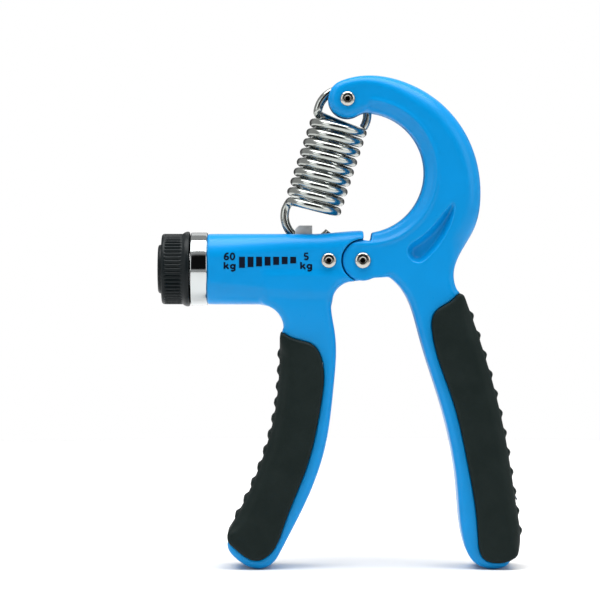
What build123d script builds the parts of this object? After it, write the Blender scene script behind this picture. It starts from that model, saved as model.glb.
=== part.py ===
from build123d import *
import os
from math import cos, radians, sin

# Adjustable hand grip strengthener, in millimetres. +X runs from the knob towards the lever's handle,
# +Z is up and -Y is the printed front. The origin is on the floor, midway between the knob's cap and the
# outermost point of the lever's pad, on the mid plane of the gripper.

os.makedirs("parts", exist_ok=True)

# ---- driving dimensions ----
HEIGHT = 160.0
SLAB_HALF = 9.0  # half thickness of the hoop, the ears and the handle spines
CORE_HALF = 6.5  # half thickness of a handle's core inside its pad
PAD_HALF = 11.0  # half thickness of a rubber pad

PIVOT = (7.7, 100.0)  # hinge axis, along Y
KNUCKLE_R = 6.6  # round lever ears about the hinge axis
EAR_GAP = 0.35  # gap between the ears and their pocket in the adjuster arm
TONGUE_R = 6.3
TONGUE_HALF = 3.0
EAR_INNER = 3.6  # the ears start this far from the mid plane
TONGUE_ROOM = 0.7  # gap round the tongue, between the ears
HINGE_R = 2.0
HINGE_WASHER_R = 6.0
RUNNING = 0.05  # radial clearance of a running fit
PLAY = 0.1  # end play of a washer, and the gap between the pieces of the spring's wire

AXIS_Z = 97.1  # height of the barrel, knob and lead screw axis
BARREL_R = 11.45
BARREL_LEFT = -42.6
BARREL_RIGHT = 8.0
FLAT_HALF = 9.8  # the barrel is flattened to this half width beside the hinge
RING_R = 11.85
RING_WALL = 1.2
SPIGOT_LEFT = -48.2
TAPER_LEFT, TAPER_RIGHT = -36.0, -8.0
BEARING_LEFT, BEARING_RIGHT = -47.2, -41.2
BORE_R = 8.85
BORE_RIGHT = -7.4
POCKET_R = 5.0
POCKET_RIGHT = -0.8
SLOT_HALF = 3.3
SLOT_RIGHT = -0.4
SLOT_FLOOR = 101.9

CAP_LEFT = -58.8
CAP_R = 8.0
CAP_EDGE = 1.0
CAP_SEAT = -56.4
KNOB_LEFT = -57.6
KNOB_RIGHT = -48.5
KNOB_R = 11.5
KNOB_WALL = 2.0
KNOB_BOSS_WALL = 2.5
COLLAR_R = 12.2
COLLAR_LEFT = -50.6
KNOB_WEB = (-54.3, -52.5)
KNOB_SCREW_R = 1.5
KNOB_SCREW_HEAD_R = 2.8
KNOB_SCREW_HEAD = 1.7
KNOB_SCREW_ROOM = 0.6
KNOB_SCREW_RIGHT = -49.0
THRUST_WASHER_R = 6.5

SCREW_R = 3.0
JOURNAL_R = 2.5
THREAD_LEFT = -40.9
THREAD_RIGHT = -7.6
TAIL_R = 2.0
TAIL_RIGHT = -5.4
TAIL_ROOM = 0.2

SLIDER_LEFT, SLIDER_RIGHT = -14.2, -8.6
LUG_HALF = 3.0
LUG_TOP = 111.3
LUG_BEVEL = 1.2
HOOK_ROOM_HALF = 1.6
# Where the lug is open for the hook and its swing: over the hook on the left, under a bar on the right.
HOOK_ROOM = [(-15.2, 112.3), (-10.4, 112.3), (-10.4, 108.1), (-7.6, 108.1), (-7.6, 101.8), (-12.6, 105.0),
             (-15.2, 106.0)]
INSERT_R = 4.5

TOP_PIN = (2.8, 152.3)  # spring pin in the hoop's fork, along Y
TOP_PIN_R = 1.6
SPACER_R = 3.4
HOOP_END_R = 6.3
FORK_HALF = 2.2
FORK_R = 10.8
FORK_MOUTH_X = -0.7  # middle of the open top of the fork
RECESS_DEPTH = 1.4
RIVET_HEAD = 1.1
HEAD_STEP = 0.3  # the solid head at the back is this much smaller than the rolled rim in front
RIVET_WEB = 3.0  # solid metal left at the back end of a rivet's bore
WASHER = 0.5
WASHER_RIM = 0.5
BODY_RIVET = (-3.3, 100.0)
BODY_RIVET_R = 1.5

WIRE_R = 1.4
COIL_R = 8.1
TURNS = 9
COIL_LENGTH = 30.3
COIL_START = 10.6  # from the eye, along the spring's axis
EYE_POINT = (-12.0, 106.6)  # where the lower hook hangs in the slider
LOWER_TAIL, UPPER_TAIL = 70, 106  # how far past its far point each hook runs on, in degrees

# ---- spring axis, from the slider's eye to the top pin ----
eye = Vector(EYE_POINT[0], 0, EYE_POINT[1])
top_pin = Vector(TOP_PIN[0], 0, TOP_PIN[1])
along = (top_pin - eye).normalized()
across = Vector(along.Z, 0, -along.X)
lower_centre = eye + along * COIL_R
upper_centre = top_pin + along * (TOP_PIN_R + PLAY + WIRE_R - COIL_R)


def save(piece, label):
    piece.label = label
    export_step(piece, f"parts/{label}.step")


# ---- outlines in the XZ plane ----
# Pad outlines: the edge next to the spine, then the gripped edge, both from the top down.
RIGHT_PAD_INNER = [(38.6, 89.6), (36.2, 86.8), (31.0, 83.2), (30.3, 76.0), (36.8, 54.9), (41.8, 33.7),
                   (45.0, 11.0), (47.2, 3.2), (51.0, 2.2), (55.4, 2.9)]
RIGHT_PAD_OUTER = [(40.3, 89.2), (47.1, 69.8), (53.6, 44.6), (57.8, 18.7), (58.55, 7.4), (57.8, 4.4)]
LEFT_PAD_INNER = [(-17.9, 76.9), (-14.6, 74.7), (-8.2, 72.6), (-5.4, 67.2), (-5.8, 54.0), (-10.3, 33.7),
                  (-17.8, 14.4), (-22.1, 5.4), (-26.8, 2.9), (-31.5, 5.1), (-35.9, 8.8)]
LEFT_PAD_OUTER = [(-19.2, 76.6), (-19.3, 65.5), (-20.9, 50.0), (-26.2, 31.5), (-33.2, 16.6), (-36.3, 11.4)]

CROTCH = [(-2.5, 82.0), (-2.2, 88.0), (2.7, 93.1), (4.6, 93.3)]
LEFT_NECK = [(-25.2, 85.7), (-21.0, 84.2), (-18.6, 81.2), (-17.9, 76.9)]
RIGHT_INNER_EDGE = [(16.2, 94.6), (20.0, 91.2), (26.3, 75.0), (32.9, 53.7), (38.3, 26.2), (40.6, 8.0),
                    (43.6, 2.3), (49.6, 0.0), (55.0, 1.3)]
LEFT_INNER_EDGE = [(2.7, 93.1), (-2.2, 88.0), (-1.4, 77.3), (-1.6, 60.0), (-4.9, 37.5), (-11.5, 20.0),
                   (-18.6, 6.2), (-22.0, 1.4), (-26.2, 0.0), (-30.4, 1.3), (-33.7, 3.7), (-35.7, 6.0), (-36.3, 8.3)]
HOOP_OUTER = [(1.0, 158.4), (8.4, 159.95), (22.8, 157.4), (34.9, 149.5), (42.8, 138.0), (46.1, 122.0),
              (43.8, 109.8), (37.6, 98.3), (38.6, 89.6)]
LEVER_CORNER = [(16.2, 94.6), (7.7, 94.2), (7.7, 105.9), (10.4, 106.0), (10.7, 109.0)]
HOOP_INNER = [(10.7, 109.0), (27.9, 128.2), (8.8, 148.0)]
HOOP_END = [(7.2, 147.8), (-3.5, 152.7), (1.0, 158.4)]
TEARDROP_RIGHT = [(37.6, 119.6), (36.0, 111.5), (31.0, 103.4), (27.4, 99.8)]
TEARDROP_LEFT = [(37.6, 119.6), (34.2, 115.6), (29.6, 110.2), (24.6, 106.2)]
TEARDROP_END = (22.4, 101.6)
# Outlines of the handle cores inside the pads: the gripped edge, then the edge next to the spine.
RIGHT_CORE = ([(31.5, 84.2), (38.0, 84.2), (44.1, 69.8), (50.4, 44.6), (54.6, 18.7), (54.9, 8.0), (51.5, 5.0)],
              [(31.5, 84.2), (29.0, 76.5), (34.6, 54.9), (39.8, 33.7), (42.9, 11.0), (51.5, 5.0)])
LEFT_CORE = ([(-7.0, 70.2), (-16.0, 71.0), (-17.8, 50.0), (-23.1, 31.5), (-30.1, 16.6), (-32.0, 9.0)],
             [(-7.0, 70.2), (-3.6, 66.5), (-3.8, 54.0), (-7.8, 33.7), (-15.2, 14.4), (-22.0, 4.0),
              (-32.0, 9.0)])


def closed_face(*edges):
    """A face inside smooth edges; gaps between their ends are closed with straight lines."""
    with BuildSketch(Plane.XZ) as face:
        with BuildLine():
            for edge in edges:
                Spline(*edge)
            for first, second in zip(edges, edges[1:]):
                if first[0] != second[0]:
                    Line(first[0], second[0])
                if first[-1] != second[-1]:
                    Line(first[-1], second[-1])
        make_face()
    return face.sketch


def round_face(at, radius, plane=Plane.XZ):
    with BuildSketch(plane) as face:
        with Locations(at):
            Circle(radius)
    return face.sketch


def across_y(at, radius, front, back):
    """The face and length of a round solid along Y, between y = front and y = back."""
    return {"to_extrude": round_face(at, radius, Plane.XZ.offset(-back)), "amount": back - front}


def along_x(radius, left, right, height=AXIS_Z):
    """The face and length of a round solid along X, between two x positions."""
    plane = Plane(origin=(left, 0, height), x_dir=(0, 1, 0), z_dir=(1, 0, 0))
    return {"to_extrude": round_face((0, 0), radius, plane), "amount": right - left}


def slab(face, half):
    return {"to_extrude": face, "amount": half, "both": True}


right_pad_face = closed_face(RIGHT_PAD_INNER, RIGHT_PAD_OUTER)
left_pad_face = closed_face(LEFT_PAD_INNER, LEFT_PAD_OUTER)
right_core_face = closed_face(*RIGHT_CORE)
left_core_face = closed_face(*LEFT_CORE)

# ---- lever arm: hoop, forked top end, hinge ears and the right handle ----
with BuildPart() as lever_arm:
    with BuildSketch(Plane.XZ):
        with BuildLine():
            Spline(*HOOP_OUTER)
            Spline(*RIGHT_PAD_INNER)
            Line(RIGHT_PAD_INNER[-1], RIGHT_INNER_EDGE[-1])
            Spline(*RIGHT_INNER_EDGE)
            Polyline(*LEVER_CORNER)
            ThreePointArc(*HOOP_INNER)
            Line(HOOP_INNER[-1], HOOP_END[0])
            ThreePointArc(*HOOP_END)
        make_face()
        with Locations(PIVOT):
            Circle(KNUCKLE_R)
    extrude(amount=SLAB_HALF, both=True)
    extrude(**slab(right_core_face, CORE_HALF))
    # room for the adjuster arm's tongue, and the fork that takes the spring's hook
    extrude(**slab(round_face(PIVOT, TONGUE_R + TONGUE_ROOM), EAR_INNER), mode=Mode.SUBTRACT)
    extrude(**slab(round_face((upper_centre.X, upper_centre.Z), FORK_R), FORK_HALF), mode=Mode.SUBTRACT)
    with BuildSketch(Plane.XZ):
        with Locations((FORK_MOUTH_X, HEIGHT)):
            Rectangle(2 * FORK_R, 2 * HOOP_END_R)
    extrude(amount=FORK_HALF, both=True, mode=Mode.SUBTRACT)
    extrude(**across_y(PIVOT, HINGE_R, -SLAB_HALF, SLAB_HALF), mode=Mode.SUBTRACT)
    extrude(**across_y(TOP_PIN, TOP_PIN_R, -SLAB_HALF, SLAB_HALF), mode=Mode.SUBTRACT)
    # a teardrop recess on each face, between the hoop and the handle
    for face_plane in (Plane.XZ.offset(SLAB_HALF), Plane.XZ.offset(-SLAB_HALF)):
        with BuildSketch(face_plane):
            with BuildLine():
                Spline(*TEARDROP_RIGHT)
                Spline(*TEARDROP_LEFT)
                ThreePointArc(TEARDROP_RIGHT[-1], TEARDROP_END, TEARDROP_LEFT[-1])
            make_face()
        extrude(amount=RECESS_DEPTH, both=True, mode=Mode.SUBTRACT)
save(lever_arm.part, "lever_arm")

# ---- adjuster arm: barrel with its slot, hinge tongue and the left handle ----
with BuildPart() as adjuster_arm:
    extrude(**along_x(BARREL_R, BARREL_LEFT, BARREL_RIGHT))
    # flat sides beside the hinge, running out towards the round end of the barrel
    with BuildSketch(Plane.XY.offset(AXIS_Z - BARREL_R)):
        with BuildLine():
            Polyline(
                (BARREL_LEFT, BARREL_R), (TAPER_LEFT, BARREL_R), (TAPER_RIGHT, FLAT_HALF),
                (BARREL_RIGHT, FLAT_HALF), (BARREL_RIGHT, -FLAT_HALF), (TAPER_RIGHT, -FLAT_HALF),
                (TAPER_LEFT, -BARREL_R), (BARREL_LEFT, -BARREL_R), close=True,
            )
        make_face()
    extrude(amount=2 * BARREL_R, mode=Mode.INTERSECT)
    # the open crotch between the left handle and the hinge
    with BuildSketch(Plane.XZ):
        with BuildLine():
            Spline(*CROTCH)
            Polyline(CROTCH[-1], (BARREL_RIGHT + 1, CROTCH[-1][1]), (BARREL_RIGHT + 1, CROTCH[0][1]), CROTCH[0])
        make_face()
    extrude(amount=BARREL_R, both=True, mode=Mode.SUBTRACT)
    extrude(**along_x(RING_R - RING_WALL, SPIGOT_LEFT, BARREL_LEFT))
    with BuildSketch(Plane.XZ):
        with BuildLine():
            Spline(*LEFT_NECK)
            Spline(*LEFT_PAD_INNER)
            Line(LEFT_PAD_INNER[-1], LEFT_INNER_EDGE[-1])
            Spline(*LEFT_INNER_EDGE)
            Polyline(LEFT_INNER_EDGE[0], (LEFT_INNER_EDGE[0][0], AXIS_Z), (LEFT_NECK[0][0], AXIS_Z), LEFT_NECK[0])
        make_face()
    extrude(amount=SLAB_HALF, both=True)
    extrude(**slab(left_core_face, CORE_HALF))
    extrude(**along_x(BORE_R, SPIGOT_LEFT, BORE_RIGHT), mode=Mode.SUBTRACT)
    extrude(**along_x(POCKET_R, BORE_RIGHT, POCKET_RIGHT), mode=Mode.SUBTRACT)
    with BuildSketch(Plane.XY.offset(SLOT_FLOOR)):
        with Locations(((SPIGOT_LEFT + SLOT_RIGHT) / 2, 0)):
            Rectangle(SLOT_RIGHT - SPIGOT_LEFT, 2 * SLOT_HALF)
    extrude(amount=BARREL_R, mode=Mode.SUBTRACT)
    # round pockets for the lever's ears on each side of the tongue
    for front, back in ((-BARREL_R, -TONGUE_HALF), (TONGUE_HALF, BARREL_R)):
        extrude(**across_y(PIVOT, KNUCKLE_R + EAR_GAP, front, back), mode=Mode.SUBTRACT)
    extrude(**slab(round_face(PIVOT, TONGUE_R), TONGUE_HALF))
    extrude(**across_y(PIVOT, HINGE_R + RUNNING, -BARREL_R, BARREL_R), mode=Mode.SUBTRACT)
    extrude(**across_y(BODY_RIVET, BODY_RIVET_R, -BARREL_R, BARREL_R), mode=Mode.SUBTRACT)
save(adjuster_arm.part, "adjuster_arm")

# ---- rubber pads, each a sleeve over its handle's core ----
for label, pad_face, core_face in (
    ("right_grip_pad", right_pad_face, right_core_face),
    ("left_grip_pad", left_pad_face, left_core_face),
):
    with BuildPart() as pad:
        extrude(**slab(pad_face, PAD_HALF))
        extrude(**slab(core_face, CORE_HALF), mode=Mode.SUBTRACT)
    save(pad.part, label)

# ---- tubular rivets along Y, with a washer under each solid head at the back ----
for label, at, shank_r, head_r, half in (
    ("hinge_rivet", PIVOT, HINGE_R, 2.6, SLAB_HALF),
    ("top_pin_rivet", TOP_PIN, TOP_PIN_R, 2.4, SLAB_HALF),
    ("body_rivet", BODY_RIVET, BODY_RIVET_R, 2.45, FLAT_HALF),
):
    with BuildPart() as rivet:
        extrude(**across_y(at, head_r, -half - RIVET_HEAD, -half))
        extrude(**across_y(at, shank_r, -half, half + RIVET_HEAD))
        extrude(**across_y(at, head_r - HEAD_STEP, half + WASHER, half + RIVET_HEAD))
        extrude(**across_y(at, shank_r / 2, -half - RIVET_HEAD, half - RIVET_WEB), mode=Mode.SUBTRACT)
    save(rivet.part, label)
    with BuildPart() as rivet_washer:
        extrude(**across_y(at, head_r + WASHER_RIM, half, half + WASHER))
        extrude(**across_y(at, shank_r, half, half + WASHER), mode=Mode.SUBTRACT)
    save(rivet_washer.part, f"{label}_washer")

# ---- thin plastic washers in pairs: beside the tongue, and beside the spring's upper hook ----
for label, at, inner_r, outer_r, near, far in (
    ("hinge_washers", PIVOT, HINGE_R, HINGE_WASHER_R, TONGUE_HALF + RUNNING, EAR_INNER),
    ("top_pin_spacers", TOP_PIN, TOP_PIN_R, SPACER_R, WIRE_R + PLAY, FORK_HALF),
):
    with BuildPart() as washers:
        for front, back in ((-far, -near), (near, far)):
            extrude(**across_y(at, outer_r, front, back))
        extrude(**across_y(at, inner_r, -far, far), mode=Mode.SUBTRACT)
    save(washers.part, label)

# ---- adjuster: chrome ring, bearing, screw, knob and their small parts, all about the barrel's axis ----
with BuildPart() as chrome_ring:
    extrude(**along_x(RING_R, SPIGOT_LEFT, BARREL_LEFT))
    extrude(**along_x(RING_R - RING_WALL, SPIGOT_LEFT, BARREL_LEFT), mode=Mode.SUBTRACT)
save(chrome_ring.part, "chrome_ring")

with BuildPart() as front_bearing:
    extrude(**along_x(BORE_R - RUNNING, BEARING_LEFT, BEARING_RIGHT))
    extrude(**along_x(JOURNAL_R + RUNNING, BEARING_LEFT, BEARING_RIGHT), mode=Mode.SUBTRACT)
save(front_bearing.part, "front_bearing")

with BuildPart() as thrust_washer:
    extrude(**along_x(THRUST_WASHER_R, KNOB_RIGHT, BEARING_LEFT - PLAY))
    extrude(**along_x(JOURNAL_R, KNOB_RIGHT, BEARING_LEFT - PLAY), mode=Mode.SUBTRACT)
save(thrust_washer.part, "thrust_washer")

with BuildPart() as screw_end_block:
    extrude(**along_x(POCKET_R - RUNNING, BORE_RIGHT + RUNNING, POCKET_RIGHT - RUNNING))
    extrude(**along_x(TAIL_R + RUNNING, BORE_RIGHT, TAIL_RIGHT + TAIL_ROOM), mode=Mode.SUBTRACT)
    extrude(**across_y(BODY_RIVET, BODY_RIVET_R, -POCKET_R, POCKET_R), mode=Mode.SUBTRACT)
    # a flat top, under the slot's floor
    with BuildSketch(Plane.XY.offset(SLOT_FLOOR - RUNNING)):
        with Locations(((BORE_RIGHT + POCKET_RIGHT) / 2, 0)):
            Rectangle(POCKET_RIGHT - BORE_RIGHT, 2 * POCKET_R)
    extrude(amount=POCKET_R, mode=Mode.SUBTRACT)
save(screw_end_block.part, "screw_end_block")

with BuildPart() as lead_screw:
    extrude(**along_x(JOURNAL_R, KNOB_WEB[1], THREAD_LEFT))
    extrude(**along_x(SCREW_R, THREAD_LEFT, THREAD_RIGHT))
    extrude(**along_x(TAIL_R, THREAD_RIGHT, TAIL_RIGHT))
    extrude(**along_x(KNOB_SCREW_R, KNOB_WEB[1], KNOB_SCREW_RIGHT), mode=Mode.SUBTRACT)
save(lead_screw.part, "lead_screw")

with BuildPart() as knob:
    extrude(**along_x(KNOB_R, KNOB_LEFT, KNOB_RIGHT))
    extrude(**along_x(COLLAR_R, COLLAR_LEFT, KNOB_RIGHT))
    extrude(**along_x(KNOB_R - KNOB_WALL, KNOB_WEB[1], KNOB_RIGHT), mode=Mode.SUBTRACT)
    extrude(**along_x(JOURNAL_R + KNOB_BOSS_WALL, KNOB_WEB[1], KNOB_RIGHT))
    extrude(**along_x(CAP_R, KNOB_LEFT, CAP_SEAT), mode=Mode.SUBTRACT)
    extrude(**along_x(KNOB_SCREW_HEAD_R + KNOB_SCREW_ROOM, CAP_SEAT, KNOB_WEB[0]), mode=Mode.SUBTRACT)
    extrude(**along_x(KNOB_SCREW_R, KNOB_WEB[0], KNOB_WEB[1]), mode=Mode.SUBTRACT)
    extrude(**along_x(JOURNAL_R, KNOB_WEB[1], KNOB_RIGHT), mode=Mode.SUBTRACT)
save(knob.part, "knob")

with BuildPart() as knob_end_cap:
    extrude(**along_x(CAP_R, CAP_LEFT, CAP_SEAT))
    fillet(knob_end_cap.edges().group_by(Axis.X)[0], CAP_EDGE)
save(knob_end_cap.part, "knob_end_cap")

with BuildPart() as knob_screw:
    extrude(**along_x(KNOB_SCREW_HEAD_R, KNOB_WEB[0] - KNOB_SCREW_HEAD, KNOB_WEB[0]))
    extrude(**along_x(KNOB_SCREW_R, KNOB_WEB[0], KNOB_SCREW_RIGHT))
save(knob_screw.part, "knob_screw")

# ---- slider: a round carrier in the bore, its lug through the slot, and a threaded insert ----
with BuildPart() as slider_carrier:
    extrude(**along_x(BORE_R - RUNNING, SLIDER_LEFT, SLIDER_RIGHT))
    with BuildSketch(Plane.XY.offset(AXIS_Z)):
        with Locations(((SLIDER_LEFT + SLIDER_RIGHT) / 2, 0)):
            Rectangle(SLIDER_RIGHT - SLIDER_LEFT, 2 * LUG_HALF)
    extrude(amount=LUG_TOP - AXIS_Z)
    chamfer(slider_carrier.edges().group_by(Axis.Z)[-1].sort_by(Axis.X)[0], LUG_BEVEL)
    with BuildSketch(Plane.XZ):
        with BuildLine():
            Polyline(*HOOK_ROOM, close=True)
        make_face()
    extrude(amount=HOOK_ROOM_HALF, both=True, mode=Mode.SUBTRACT)
    extrude(**along_x(INSERT_R, SLIDER_LEFT, SLIDER_RIGHT), mode=Mode.SUBTRACT)
save(slider_carrier.part, "slider_carrier")

with BuildPart() as threaded_insert:
    extrude(**along_x(INSERT_R, SLIDER_LEFT, SLIDER_RIGHT))
    extrude(**along_x(SCREW_R + RUNNING, SLIDER_LEFT, SLIDER_RIGHT), mode=Mode.SUBTRACT)
save(threaded_insert.part, "threaded_insert")

# ---- tension spring: one wire, kept as its coil and its two hooks because the hooks move apart ----
coil_plane = Plane(origin=eye + along * COIL_START, x_dir=-across, z_dir=along)
with BuildPart() as spring_coil:
    with BuildLine():
        turns = Helix(COIL_LENGTH / TURNS, COIL_LENGTH, COIL_R)
    with BuildSketch(Plane(origin=turns @ 0, z_dir=turns % 0)):
        Circle(WIRE_R)
    sweep(path=turns, is_frenet=True)
save(coil_plane.location * spring_coil.part, "spring_coil")

coil_end = COIL_START + COIL_LENGTH
top_rise = (upper_centre - eye).length
for label, centre, way, tail_angle, shank in (
    ("spring_lower_hook", lower_centre, -along, LOWER_TAIL, COIL_START - WIRE_R - PLAY - COIL_R),
    ("spring_upper_hook", upper_centre, along, UPPER_TAIL, top_rise - coil_end - WIRE_R - PLAY),
):
    angle = radians(tail_angle)
    tail = centre + (way * cos(angle) + across * sin(angle)) * COIL_R
    side = centre - across * COIL_R
    with BuildPart() as hook:
        with BuildLine() as wire:
            ThreePointArc(tail, centre + way * COIL_R, side)
            Line(side, side - way * shank)
        with BuildSketch(Plane(origin=wire.line @ 0, z_dir=wire.line % 0)):
            Circle(WIRE_R)
        sweep(path=wire.line)
    save(hook.part, label)
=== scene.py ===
from math import cos, pi, radians, sin

import bmesh
import bpy
import numpy as np
import openvdb
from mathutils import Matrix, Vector


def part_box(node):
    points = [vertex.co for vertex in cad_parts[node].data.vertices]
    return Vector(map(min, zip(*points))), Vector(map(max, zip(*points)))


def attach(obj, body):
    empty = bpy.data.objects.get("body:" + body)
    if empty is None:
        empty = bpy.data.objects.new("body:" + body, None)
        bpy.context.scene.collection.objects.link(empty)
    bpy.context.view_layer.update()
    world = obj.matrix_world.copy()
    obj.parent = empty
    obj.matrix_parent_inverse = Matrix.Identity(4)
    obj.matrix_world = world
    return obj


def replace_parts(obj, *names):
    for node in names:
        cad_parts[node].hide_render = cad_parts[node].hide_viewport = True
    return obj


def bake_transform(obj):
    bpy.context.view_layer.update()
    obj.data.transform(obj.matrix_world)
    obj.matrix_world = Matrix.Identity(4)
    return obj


# Adjustable hand grip strengthener. Shapes are worked out in millimetres, in the CAD frame, and turned into
# metres when a mesh is made. The two blue arms and the rubber pads are distance fields built on the CAD
# parts' own outlines; the round parts are turned profiles and the spring is one swept wire in two halves.

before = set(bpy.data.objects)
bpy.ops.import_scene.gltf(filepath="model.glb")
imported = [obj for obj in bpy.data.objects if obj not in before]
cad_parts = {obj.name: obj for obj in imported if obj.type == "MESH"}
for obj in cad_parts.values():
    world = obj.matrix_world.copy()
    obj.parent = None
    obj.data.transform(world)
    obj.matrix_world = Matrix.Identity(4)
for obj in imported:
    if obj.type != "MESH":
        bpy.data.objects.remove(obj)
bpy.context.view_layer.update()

MM = 0.001
CELL = 0.4  # grid of the distance fields


def box_mm(node):
    low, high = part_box(node)
    return np.array(low) / MM, np.array(high) / MM


def middle(node):
    low, high = box_mm(node)
    return (low + high) / 2


# ---- places read from the frame ----
KNOB_LOW, KNOB_HIGH = box_mm("knob")
AXIS_Z = middle("knob")[2]
PIVOT = middle("hinge_rivet")[[0, 2]]
TOP_PIN = middle("top_pin_rivet")[[0, 2]]
BODY_RIVET = middle("body_rivet")[[0, 2]]
LEVER_LOW, LEVER_HIGH = box_mm("lever_arm")
ADJUSTER_LOW, ADJUSTER_HIGH = box_mm("adjuster_arm")
RING_LOW, RING_HIGH = box_mm("chrome_ring")
SCREW_LOW, SCREW_HIGH = box_mm("lead_screw")
SLAB_HALF = LEVER_HIGH[1]
PAD_HALF = box_mm("right_grip_pad")[1][1]
RING_R = (RING_HIGH[2] - RING_LOW[2]) / 2


# ---------------------------------------------------------------- materials
def material(name, colour, second=None, roughness=0.4, metallic=0.0, spread=0.06, grain=900, bump=0.02,
             mottle=90, specular=0.5, streaks=None):
    """A procedural finish: two close tones mixed by a slow noise, and a fine grain in roughness and bump."""
    made = bpy.data.materials.new(name)
    made.use_nodes = True
    nodes, links = made.node_tree.nodes, made.node_tree.links
    shader = nodes["Principled BSDF"]
    shader.inputs["Metallic"].default_value = metallic
    shader.inputs["Specular IOR Level"].default_value = specular
    place = nodes.new("ShaderNodeTexCoord")
    stretch = nodes.new("ShaderNodeMapping")
    stretch.inputs["Scale"].default_value = streaks or (1, 1, 1)
    links.new(place.outputs["Object"], stretch.inputs["Vector"])

    slow = nodes.new("ShaderNodeTexNoise")
    slow.inputs["Scale"].default_value = mottle
    slow.inputs["Detail"].default_value = 3
    links.new(place.outputs["Object"], slow.inputs["Vector"])
    tones = nodes.new("ShaderNodeValToRGB")
    tones.color_ramp.elements[0].position = 0.3
    tones.color_ramp.elements[1].position = 0.7
    tones.color_ramp.elements[0].color = (*colour, 1)
    tones.color_ramp.elements[1].color = (*(second or [c * 0.92 for c in colour]), 1)
    links.new(slow.outputs["Fac"], tones.inputs["Fac"])
    links.new(tones.outputs["Color"], shader.inputs["Base Color"])

    fine = nodes.new("ShaderNodeTexNoise")
    fine.inputs["Scale"].default_value = grain
    fine.inputs["Detail"].default_value = 4
    links.new(stretch.outputs["Vector"], fine.inputs["Vector"])
    rough = nodes.new("ShaderNodeMapRange")
    rough.inputs["To Min"].default_value = roughness - spread
    rough.inputs["To Max"].default_value = roughness + spread
    links.new(fine.outputs["Fac"], rough.inputs["Value"])
    links.new(rough.outputs["Result"], shader.inputs["Roughness"])
    relief = nodes.new("ShaderNodeBump")
    relief.inputs["Strength"].default_value = bump
    relief.inputs["Distance"].default_value = 0.0002
    links.new(fine.outputs["Fac"], relief.inputs["Height"])
    links.new(relief.outputs["Normal"], shader.inputs["Normal"])
    return made


BLUE = material("moulded_blue", (0.0, 0.248, 0.61), (0.0, 0.236, 0.575), roughness=0.30, grain=1400,
                bump=0.05, specular=0.2)
RUBBER = material("charcoal_rubber", (0.006, 0.0115, 0.0105), (0.009, 0.015, 0.014), roughness=0.5,
                  spread=0.09, grain=2200, bump=0.35, mottle=140, specular=0.1)
PLASTIC = material("black_plastic", (0.004, 0.007, 0.008), (0.007, 0.010, 0.011), roughness=0.36, grain=1500,
                   bump=0.12, specular=0.14)
CHROME = material("polished_chrome", (0.50, 0.52, 0.52), (0.46, 0.48, 0.48), roughness=0.07, metallic=1.0,
                  spread=0.03, grain=1200, bump=0.015)
WIRE = material("plated_wire", (0.43, 0.45, 0.43), (0.36, 0.38, 0.36), roughness=0.17, metallic=1.0,
                spread=0.05, grain=1500, bump=0.05, mottle=260)
RIVET = material("nickel_rivet", (0.50, 0.49, 0.45), (0.40, 0.38, 0.34), roughness=0.2, metallic=1.0,
                 spread=0.05, grain=1600, bump=0.05, mottle=400)
# Near-black finish laid inside the rivets' holes: painted shade standing for the dark of the deep hole.
RIVET_HOLE_PAINTED_SHADE = material("rivet_hole_painted_shade", (0.035, 0.026, 0.018), (0.06, 0.045, 0.03), roughness=0.5, metallic=0.6,
                      grain=1200, bump=0.2, mottle=500)
STEEL = material("zinc_plated_steel", (0.56, 0.57, 0.57), (0.46, 0.47, 0.47), roughness=0.24, metallic=1.0,
                 spread=0.07, grain=1300, bump=0.1, mottle=240, streaks=(1, 6, 6))
SATIN = material("satin_nickel", (0.80, 0.81, 0.79), (0.68, 0.69, 0.67), roughness=0.42, metallic=0.6,
                 spread=0.08, grain=1300, bump=0.12, mottle=300)
BRASS = material("turned_brass", (0.72, 0.50, 0.17), (0.62, 0.42, 0.14), roughness=0.25, metallic=1.0,
                 grain=1300, bump=0.08, mottle=200)
NYLON = material("natural_nylon", (0.80, 0.79, 0.73), (0.74, 0.73, 0.67), roughness=0.45, grain=1100,
                 bump=0.1)
INK = material("print_ink", (0.002, 0.004, 0.012), (0.004, 0.007, 0.018), roughness=0.5, grain=2400,
               bump=0.15, specular=0.06)

FINISH = {"blue_shell": BLUE, "black_rubber": RUBBER, "black_plastic": PLASTIC, "chrome": CHROME,
          "spring_wire": WIRE, "rivet_steel": RIVET, "plated_steel": STEEL, "brass": BRASS,
          "white_nylon": NYLON}
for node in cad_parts.values():
    for held in node.material_slots:
        held.material = FINISH[held.material.name.split(".")[0]]


# ---------------------------------------------------------------- outlines from the CAD parts
def section(node, y):
    """The cut through a CAD part at one depth, as line segments in XZ."""
    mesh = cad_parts[node].data
    mesh.calc_loop_triangles()
    points = np.array([v.co for v in mesh.vertices]) / MM
    corner = points[np.array([t.vertices for t in mesh.loop_triangles])]
    side = corner[:, :, 1] - y
    cut = (side > 0).any(1) & (side < 0).any(1)
    corner, side = corner[cut], side[cut]
    after, side_after = np.roll(corner, -1, axis=1), np.roll(side, -1, axis=1)
    crosses = (side > 0) != (side_after > 0)
    share = np.divide(side, side - side_after, out=np.zeros_like(side), where=crosses)
    at = corner + share[:, :, None] * (after - corner)
    return at[crosses].reshape(-1, 2, 3)[:, :, [0, 2]]


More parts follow.
